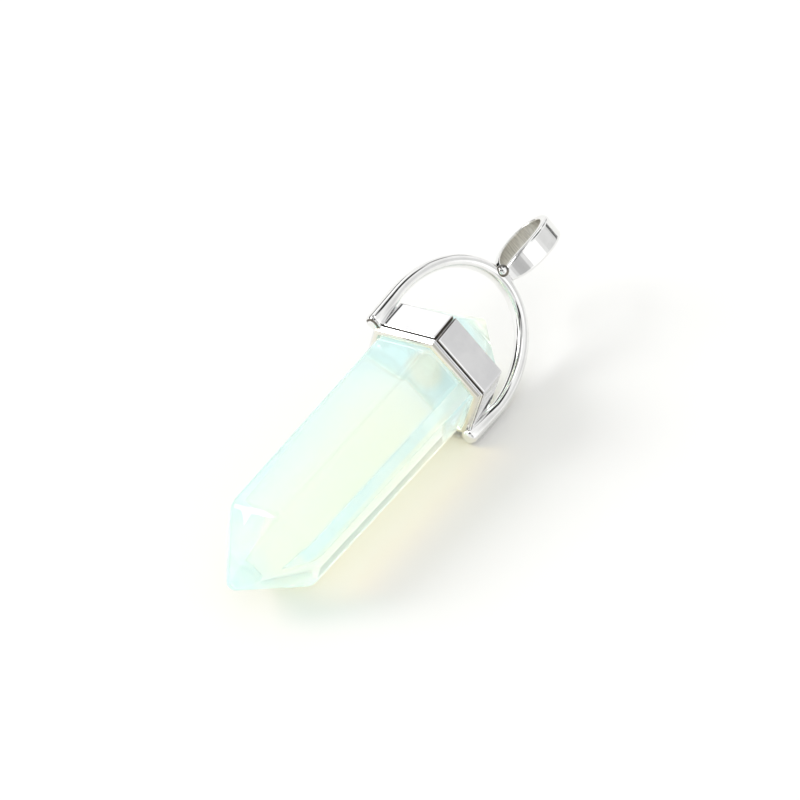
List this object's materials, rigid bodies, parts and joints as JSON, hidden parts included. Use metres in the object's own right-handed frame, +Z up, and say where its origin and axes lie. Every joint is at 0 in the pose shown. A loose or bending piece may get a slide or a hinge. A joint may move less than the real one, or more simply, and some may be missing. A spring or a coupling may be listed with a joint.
{
  "type": "crystal point pendant",
  "caption": "Hexagonal glass crystal point held in a cast collar with raised pads, an arch over its head and a strap bail for a chain.",
  "frame": {"origin": "middle of the lower face of the pendant's box, on the surface that it lies on", "axes": "+X along the pendant's length towards the bail, +Z up as it lies"},
  "size_m": [0.0408, 0.0108, 0.0105],
  "materials": {
    "opal_glass": "polished milky glass",
    "bright_metal": "bright plated casting"
  },
  "bodies": {
    "root": {"crystal_point": "opal_glass", "setting": "bright_metal"}
  },
  "joints": []
}
